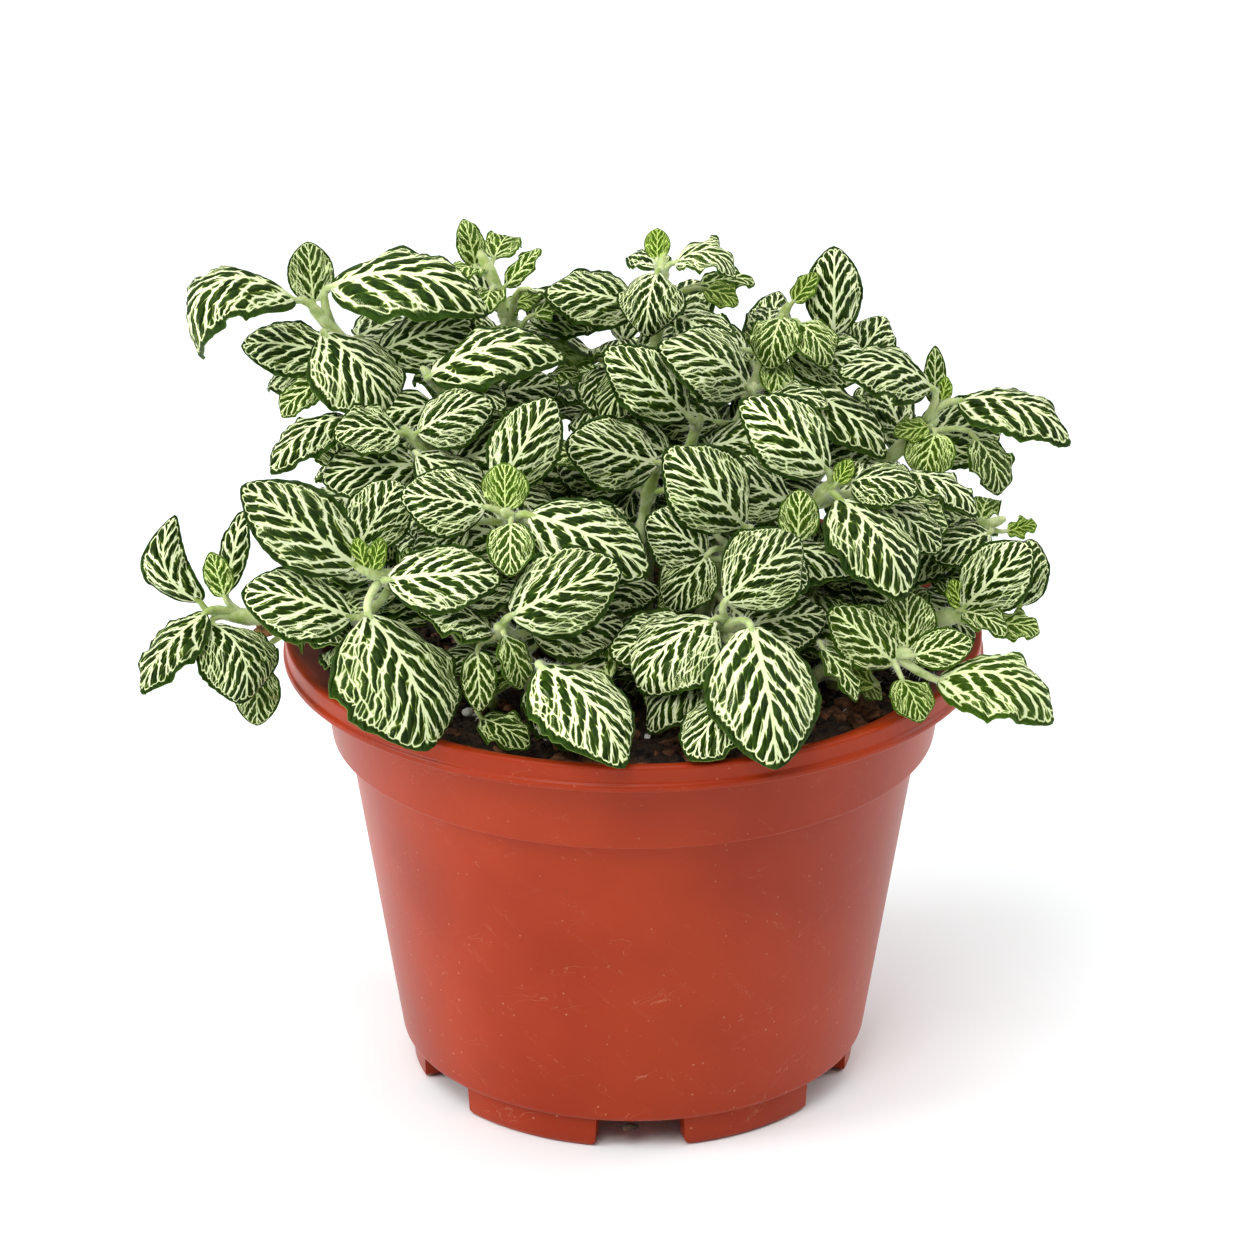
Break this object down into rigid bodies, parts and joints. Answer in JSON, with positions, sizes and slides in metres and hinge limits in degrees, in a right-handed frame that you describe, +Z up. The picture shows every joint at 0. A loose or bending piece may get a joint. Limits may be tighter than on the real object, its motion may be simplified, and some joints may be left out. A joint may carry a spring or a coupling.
{
  "type": "potted nerve plant",
  "caption": "Bushy white-veined nerve plant in a round terracotta-coloured plastic nursery pot with a stepped collar, a rolled rim and short feet.",
  "frame": {"origin": "on the surface it stands on, under the middle of the whole plant's bounding box", "axes": "+Z up, -Y towards the side the picture shows"},
  "size_m": [0.1566, 0.133, 0.1481],
  "materials": {
    "pot": "satin terracotta-orange moulded plastic, finely scratched",
    "soil": "dark damp peat with bark chips",
    "leafy_stem": "dark green leaves with a net of white veins, soft satin"
  },
  "bodies": {
    "root": {"pot": "pot", "soil": "soil", "leafy_stem_01": "leafy_stem", "leafy_stem_02": "leafy_stem", "leafy_stem_03": "leafy_stem", "leafy_stem_04": "leafy_stem", "leafy_stem_05": "leafy_stem", "leafy_stem_06": "leafy_stem", "leafy_stem_07": "leafy_stem", "leafy_stem_08": "leafy_stem", "leafy_stem_09": "leafy_stem", "leafy_stem_10": "leafy_stem", "leafy_stem_11": "leafy_stem", "leafy_stem_12": "leafy_stem", "leafy_stem_13": "leafy_stem", "leafy_stem_14": "leafy_stem", "leafy_stem_15": "leafy_stem", "leafy_stem_16": "leafy_stem", "leafy_stem_17": "leafy_stem", "leafy_stem_18": "leafy_stem", "leafy_stem_19": "leafy_stem", "leafy_stem_20": "leafy_stem", "leafy_stem_21": "leafy_stem", "leafy_stem_22": "leafy_stem", "leafy_stem_23": "leafy_stem", "leafy_stem_24": "leafy_stem", "leafy_stem_25": "leafy_stem", "leafy_stem_26": "leafy_stem", "leafy_stem_27": "leafy_stem", "leafy_stem_28": "leafy_stem", "leafy_stem_29": "leafy_stem", "leafy_stem_30": "leafy_stem", "leafy_stem_31": "leafy_stem", "leafy_stem_32": "leafy_stem", "leafy_stem_33": "leafy_stem", "leafy_stem_34": "leafy_stem"}
  },
  "joints": []
}
